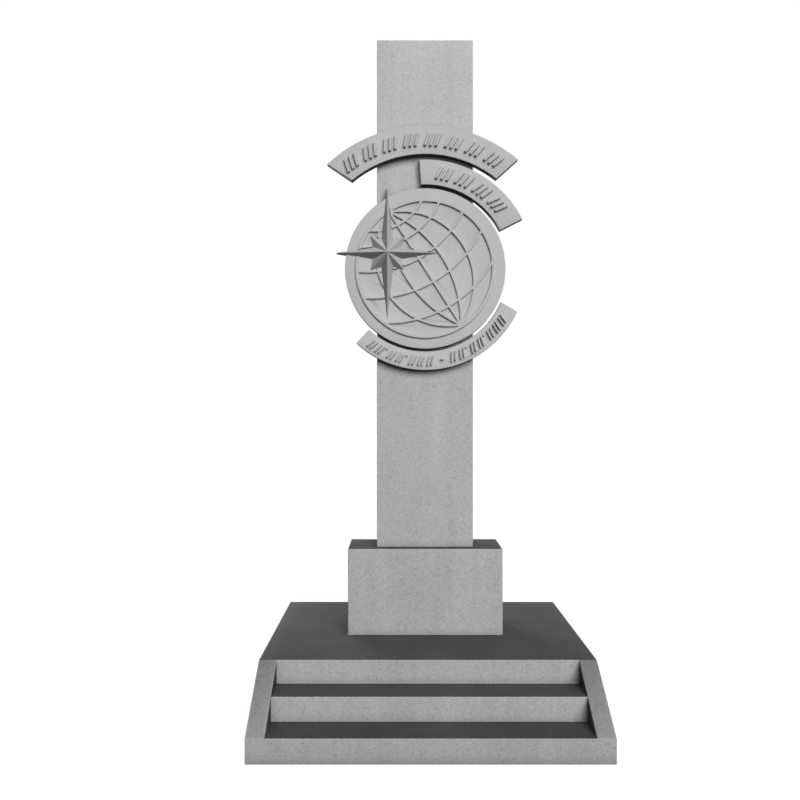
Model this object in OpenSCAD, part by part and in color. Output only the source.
// Memorial pillar: a stele on a plinth and a stepped base. A globe disc, a compass star
// and three curved banners stand on the front of the stele.
// The front faces -Y, and the origin is in the middle of the base's underside.

/* [Stepped base] */
// Width of the base
base_w = 2130; // [1700:10:2600]
// Depth of the base, front to back
base_d = 2310; // [1900:10:2800]
// Height of one step
riser_h = 150; // [110:5:180]
// Depth of the first tread
tread_1 = 290; // [220:5:350]
// Depth of the second tread
tread_2 = 270; // [220:5:350]
// Width of the sloping cheek wall on each side of the steps
cheek_w = 112; // [60:2:200]

/* [Plinth] */
// Width of the plinth
plinth_w = 1076; // [860:4:1300]
// Depth of the plinth
plinth_d = 482; // [400:2:600]
// Height of the plinth
plinth_h = 600; // [480:10:720]

/* [Pillar] */
// Width of the pillar
pillar_w = 676; // [560:4:820]
// Depth of the pillar
pillar_d = 303; // [250:1:370]
// Height of the pillar above the plinth
pillar_h = 3572; // [2970:1:4300]

/* [Globe disc] */
// Height of the emblem's centre above the plinth
emblem_up = 1953; // [1300:1:2350]
// Thickness of the disc and of the banners
plate_t = 70; // [50:1:90]
// Radius of the disc
disc_r = 561; // [465:1:680]
// Width of the plain rim outside the raised ring
rim_w = 74; // [50:1:90]
// Width of the raised ring
ring_w = 23; // [16:1:30]
// Width of a raised globe line
rib_w = 16; // [10:1:20]
// Height of the ring and the globe lines above the disc
rib_h = 18; // [8:1:24]

/* [Compass star] */
// Distance of the star's centre to the left of the disc's centre
star_left = 264; // [200:1:320]
// Distance of the star's centre above the disc's centre
star_up = 108; // [80:1:130]
// Length of the upright arms
arm_upright = 466; // [390:1:560]
// Length of the level arms
arm_level = 357; // [300:1:430]
// Length of the slanting arms
arm_slant = 169; // [145:1:200]
// Distance from the star's centre to the notches between its arms
notch_r = 107; // [90:1:125]
// Height of the star's point above the disc
star_h = 72; // [50:1:90]
// Height of the star's upright edge above the disc
star_edge = 3; // [2:1:8]

/* [Banners] */
// Gap between the disc and the short banner
short_gap = 23; // [15:1:30]
// Width of the short banner
short_w = 178; // [148:1:214]
// Gap between the short banner and the long banner
long_gap = 35; // [25:1:45]
// Width of the long banner
long_w = 203; // [169:1:244]
// Gap between the disc and the lower banner
lower_gap = 17; // [12:1:25]
// Width of the lower banner
lower_w = 132; // [110:1:158]

/* [Inscription strokes] */
// Length of a stroke on the upper banners
upper_stroke = 98; // [80:1:118]
// Width of a stroke on the upper banners
upper_stroke_w = 21; // [16:1:26]
// Length of a stroke on the lower banner
lower_stroke = 72; // [60:1:86]
// Width of a stroke on the lower banner
lower_stroke_w = 13; // [10:1:16]
// Height of the strokes above the banners
stroke_h = 26; // [10:1:30]

/* [Hidden] */
$fn = 128;

// Base: where each riser stands, front to back
front_y = -base_d / 2;
riser_2_y = front_y + tread_1;
platform_y = riser_2_y + tread_2;
back_y = base_d / 2;
platform_z = 3 * riser_h;

// Plinth and pillar share one centre line, in the middle of the platform
stele_y = (platform_y + back_y) / 2;
pillar_z = platform_z + plinth_h;
face_y = stele_y - pillar_d / 2;
emblem_z = pillar_z + emblem_up;

// Globe: the ring's two edges, and the direction of the upper pole in degrees from +X
ring_out = disc_r - rim_w;
globe_r = ring_out - ring_w;
pole_at = 122.5;
// How far each meridian bows from the straight line between the poles, as a share of globe_r
meridian_bows = [-0.67, -0.31, 0.31, 0.67];
// The parallels lean a little off the poles. Each one meets the ring at an angle from their
// own axis, and crosses that axis at a share of globe_r from the centre
parallel_at = 119.7;
parallel_ends = [26, 41.5, 63, 86.5, 115];
parallel_crossings = [0.77, 0.535, 0.18, -0.23, -0.665];

// Star: room around its outline in the disc's relief, and around the disc where it overhangs
star_room = 1;
// How far the body behind an overhanging arm is set in from the arm's edge
body_inset = 1;

// Banners: inner and outer radii, stepped out from the disc
short_in = disc_r + short_gap;
short_out = short_in + short_w;
long_in = short_out + long_gap;
long_out = long_in + long_w;
lower_in = disc_r + lower_gap;
lower_out = lower_in + lower_w;
// Banner ends as [angle at the inner edge, angle at the outer edge], in degrees from +X
long_ends = [[51.5, 49.6], [130, 133.3]];
short_ends = [[27, 27], [93, 93.3]];
lower_ends = [[-132.8, -132.8], [-23.7, -25]];
// Inscriptions: the angle of the first and last place of each row, and the strokes in a place
long_row = [124.9, 58];
long_places = 8;
short_row = [78.4, 41.7];
short_places = 4;
upper_strokes = 3;
upper_pitch = 38;
lower_pitch = 26;
lean = 18;
// Lower row, left to right: 2 strokes, 0 for a small stud, -1 for a level dash
lower_row = [2, 2, 0, 2, 2, 0, 2, 2, 2, -1, 2, 2, 0, 2, 2, 0, 2, 2, 2];
lower_row_start = -124.9;
place_angle = 5.6;
stud_angle = 2.3;
dash_angle = 9;

function polar(r, a) = [r * cos(a), r * sin(a)];

// Moves a shape drawn flat, with its back at z = 0, onto the pillar's front face
module on_face() {
    translate([0, face_y, emblem_z]) rotate([90, 0, 0]) children();
}

// ---- Base, plinth and pillar ----

// Extrudes an outline of [y, z] points along X, centred on x
module along_x(width, x, outline) {
    translate([x - width / 2, 0, 0]) rotate([90, 0, 90]) linear_extrude(width) polygon(outline);
}

module stepped_base() {
    steps = [[front_y, 0], [front_y, riser_h],
             [riser_2_y, riser_h], [riser_2_y, 2 * riser_h],
             [platform_y, 2 * riser_h], [platform_y, platform_z],
             [back_y, platform_z], [back_y, 0]];
    cheek = [[front_y, 0], [front_y, riser_h], [platform_y, platform_z], [platform_y, 0]];
    color("#9e9e9e") {
        along_x(base_w, 0, steps);
        for (side = [-1, 1]) along_x(cheek_w, side * (base_w - cheek_w) / 2, cheek);
    }
}

module plinth() {
    color("#a3a3a3") translate([-plinth_w / 2, stele_y - plinth_d / 2, platform_z])
        cube([plinth_w, plinth_d, plinth_h]);
}

module pillar() {
    color("#afafaf") translate([-pillar_w / 2, face_y, pillar_z])
        cube([pillar_w, pillar_d, pillar_h]);
}

// ---- Globe disc ----

// A line along a circle of radius r, whose centre lies c along the direction at
module rib(r, c, at) {
    translate(polar(c, at)) difference() {
        circle(r + rib_w / 2);
        circle(r - rib_w / 2);
    }
}

// A circle through both poles that bows sideways by a share of the globe's radius
module meridian(bow) {
    s = abs(bow) * globe_r;
    r = (globe_r * globe_r + s * s) / (2 * s);
    rib(r, r - s, pole_at + (bow > 0 ? 90 : -90));
}

// A circle that meets the ring at an angle from the axis and crosses the axis at a share
module parallel(end, crossing) {
    c = globe_r * (1 - crossing * crossing) / (2 * (cos(end) - crossing));
    rib(c - crossing * globe_r, c, parallel_at);
}

module globe_lines() {
    intersection() {
        circle(globe_r + ring_w / 2);
        union() {
            rotate([0, 0, pole_at]) square([2 * disc_r, rib_w], center = true);
            for (bow = meridian_bows) meridian(bow);
            for (i = [0:len(parallel_ends) - 1]) parallel(parallel_ends[i], parallel_crossings[i]);
        }
    }
}

module ring() {
    difference() {
        circle(ring_out);
        circle(globe_r);
    }
}

module globe_disc() {
    color("#b3b3b3") on_face() {
        cylinder(h = plate_t, r = disc_r);
        translate([0, 0, plate_t / 2]) linear_extrude(plate_t / 2 + rib_h) difference() {
            union() {
                ring();
                globe_lines();
            }
            translate([-star_left, star_up]) polygon(star_outline(star_room));
        }
    }
}

// ---- Compass star ----

function arm(k) = k % 2 == 1 ? arm_slant : k % 4 == 0 ? arm_level : arm_upright;

// Tips and notches by turns, from the arm along +X
function star_outline(grow) = [
    for (k = [0:7]) each [polar(arm(k) + grow, 45 * k), polar(notch_r + grow, 45 * k + 22.5)]
];

// Two facets on each arm meet in a ridge that falls from the star's point to the arm's tip.
// The back is a fan of triangles around the point behind the star's own.
module star_facets() {
    outline = star_outline(0);
    n = len(outline);
    point = 2 * n;
    back_point = point + 1;
    points = concat([for (p = outline) [p[0], p[1], plate_t]],
                    [for (p = outline) [p[0], p[1], plate_t + star_edge]],
                    [[0, 0, plate_t + star_h], [0, 0, plate_t]]);
    back = [for (i = [0:n - 1]) [i, (i + 1) % n, back_point]];
    sides = [for (i = [0:n - 1]) [i, i + n, (i + 1) % n + n, (i + 1) % n]];
    facets = [for (i = [0:n - 1]) [i + n, point, (i + 1) % n + n]];
    polyhedron(points, concat(back, sides, facets));
}

// The body behind the part of an arm that reaches past the disc, cut off along the disc's
// edge. It is set in a little from the arm's own edge and rooted halfway up that edge.
// at is the direction, from the disc's centre, in which the arm's ridge crosses the disc's edge.
module overhang(at) {
    linear_extrude(plate_t + star_edge / 2) intersection() {
        translate([-star_left, star_up]) polygon(star_outline(-body_inset));
        rotate([0, 0, at]) translate([disc_r + star_room, -arm_upright])
            square(2 * arm_upright);
    }
}

// Where an arm reaches past the disc, its body goes back to the pillar's face
module compass_star() {
    edge_r = disc_r + star_room;
    color("#8f8f8f") on_face() {
        translate([-star_left, star_up, 0]) star_facets();
        overhang(180 - asin(star_up / edge_r));
        overhang(180 - acos(star_left / edge_r));
    }
}

// ---- Banners ----

// A flat ring between two radii, cut off at both ends. Each end is a straight cut
// from its inner corner to its outer one, so it may be flared or leaning.
module arc_plate(r_in, r_out, ends) {
    reach = 0.2;
    far = 1.6 * r_out;
    spread = ends[1][1] - ends[0][1];
    in_0 = polar(r_in, ends[0][0]);
    out_0 = polar(r_out, ends[0][1]);
    in_1 = polar(r_in, ends[1][0]);
    out_1 = polar(r_out, ends[1][1]);
    wedge = concat([in_0 + reach * (in_0 - out_0), out_0 + reach * (out_0 - in_0)],
                   [for (s = [0.25, 0.5, 0.75]) polar(far, ends[0][1] + s * spread)],
                   [out_1 + reach * (out_1 - in_1), in_1 + reach * (in_1 - out_1)]);
    intersection() {
        difference() {
            cylinder(h = plate_t, r = r_out);
            translate([0, 0, -1]) cylinder(h = plate_t + 2, r = r_in);
        }
        linear_extrude(plate_t) polygon(wedge);
    }
}

// Draws its children at radius r and angle a, turned so that +Y points away from the centre
module at_place(r, a) {
    translate(polar(r, a)) rotate([0, 0, a - 90]) children();
}

// One raised bar, rooted halfway down the plate
module bar(length, width, turn) {
    rotate([0, 0, turn]) translate([-width / 2, -length / 2, plate_t / 2])
        cube([width, length, plate_t / 2 + stroke_h]);
}

// One place of an inscription: a few leaning strokes side by side
module strokes(count, length, width, pitch) {
    for (i = [0:count - 1]) translate([(i - (count - 1) / 2) * pitch, 0, 0])
        bar(length, width, -lean);
}

module upper_strokes_row(r, row, places) {
    for (i = [0:places - 1])
        at_place(r, row[0] + (row[1] - row[0]) * i / (places - 1))
            strokes(upper_strokes, upper_stroke, upper_stroke_w, upper_pitch);
}

module upper_banner() {
    color("#b6b6b6") on_face() {
        arc_plate(long_in, long_out, long_ends);
        upper_strokes_row((long_in + long_out) / 2, long_row, long_places);
    }
}

module short_banner() {
    color("#b3b3b3") on_face() {
        arc_plate(short_in, short_out, short_ends);
        upper_strokes_row((short_in + short_out) / 2, short_row, short_places);
    }
}

// Lower row: the angle that a place takes, and where its middle is
function place_width(kind) = kind == 0 ? stud_angle : kind < 0 ? dash_angle : place_angle;
function place_middle(i) = i == 0 ? lower_row_start
    : place_middle(i - 1) + (place_width(lower_row[i - 1]) + place_width(lower_row[i])) / 2;

module lower_banner() {
    r = (lower_in + lower_out) / 2;
    stud_r = r - lower_stroke / 3;
    color("#b0b0b0") on_face() {
        arc_plate(lower_in, lower_out, lower_ends);
        for (i = [0:len(lower_row) - 1]) {
            kind = lower_row[i];
            a = place_middle(i);
            if (kind > 0) at_place(r, a) strokes(kind, lower_stroke, lower_stroke_w, lower_pitch);
            if (kind == 0) at_place(stud_r, a) translate([0, 0, plate_t / 2])
                cylinder(h = plate_t / 2 + stroke_h, r = lower_stroke_w / 2);
            if (kind < 0) at_place(r, a) bar(lower_stroke / 3, lower_stroke_w, 90);
        }
    }
}

stepped_base();
plinth();
pillar();
globe_disc();
compass_star();
upper_banner();
short_banner();
lower_banner();
